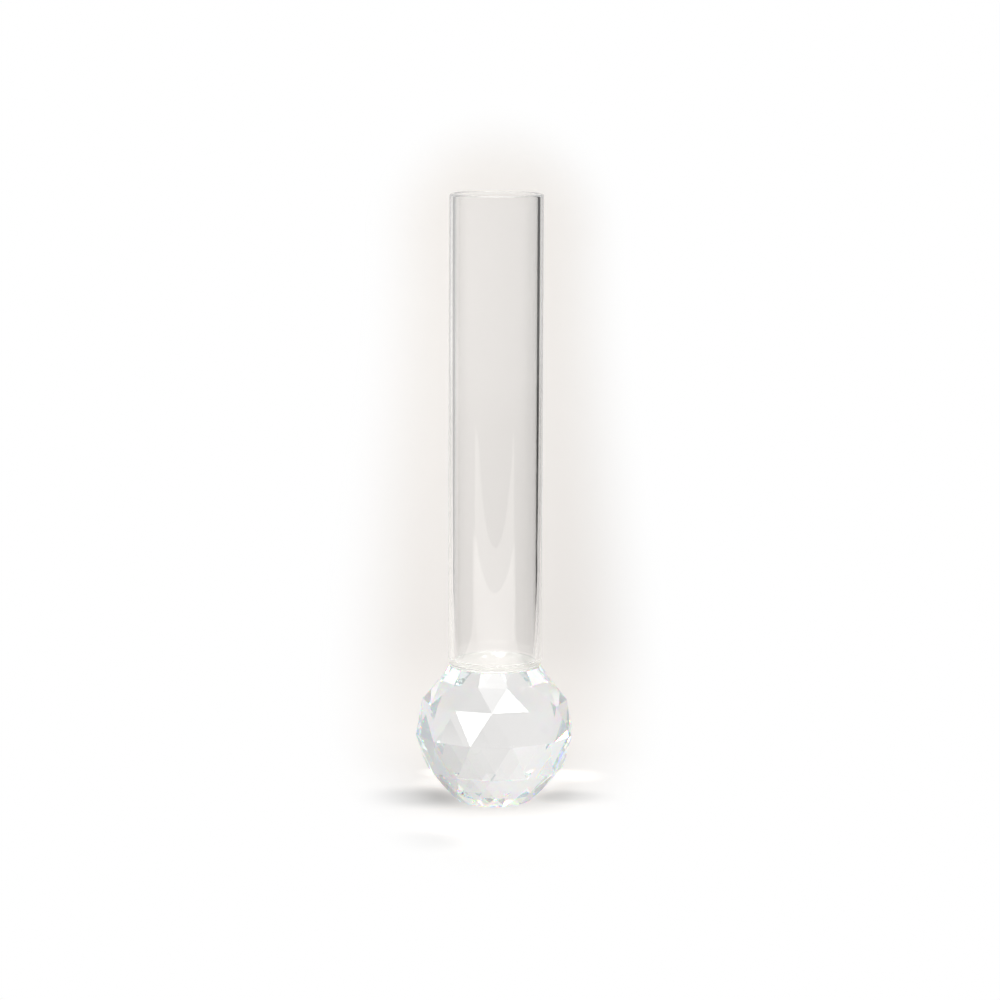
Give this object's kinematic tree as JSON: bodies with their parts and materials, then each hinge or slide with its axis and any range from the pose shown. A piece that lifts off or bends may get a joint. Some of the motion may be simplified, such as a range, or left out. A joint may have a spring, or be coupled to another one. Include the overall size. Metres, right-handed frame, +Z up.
{
  "type": "glass bud vase",
  "caption": "Slim clear glass bud vase: a straight closed tube bonded upright on a faceted solid crystal ball with a flat cut underneath to stand on.",
  "frame": {"origin": "centre of the twelve-sided flat under the ball, on the surface the vase stands on", "axes": "+Z up along the tube's axis; -Y is the side where a corner of the ball's shoulder ring faces straight out"},
  "size_m": [0.05, 0.05, 0.1955],
  "materials": {
    "tube_glass": "clear drawn borosilicate tube, fire-polished mouth",
    "clear_adhesive": "water-clear cured UV adhesive, glossy bead",
    "cut_crystal": "cut and polished optical crystal, flat mirror-bright facets"
  },
  "bodies": {
    "root": {"glass_tube": "tube_glass", "bond_layer": "clear_adhesive", "crystal_ball": "cut_crystal"}
  },
  "joints": []
}
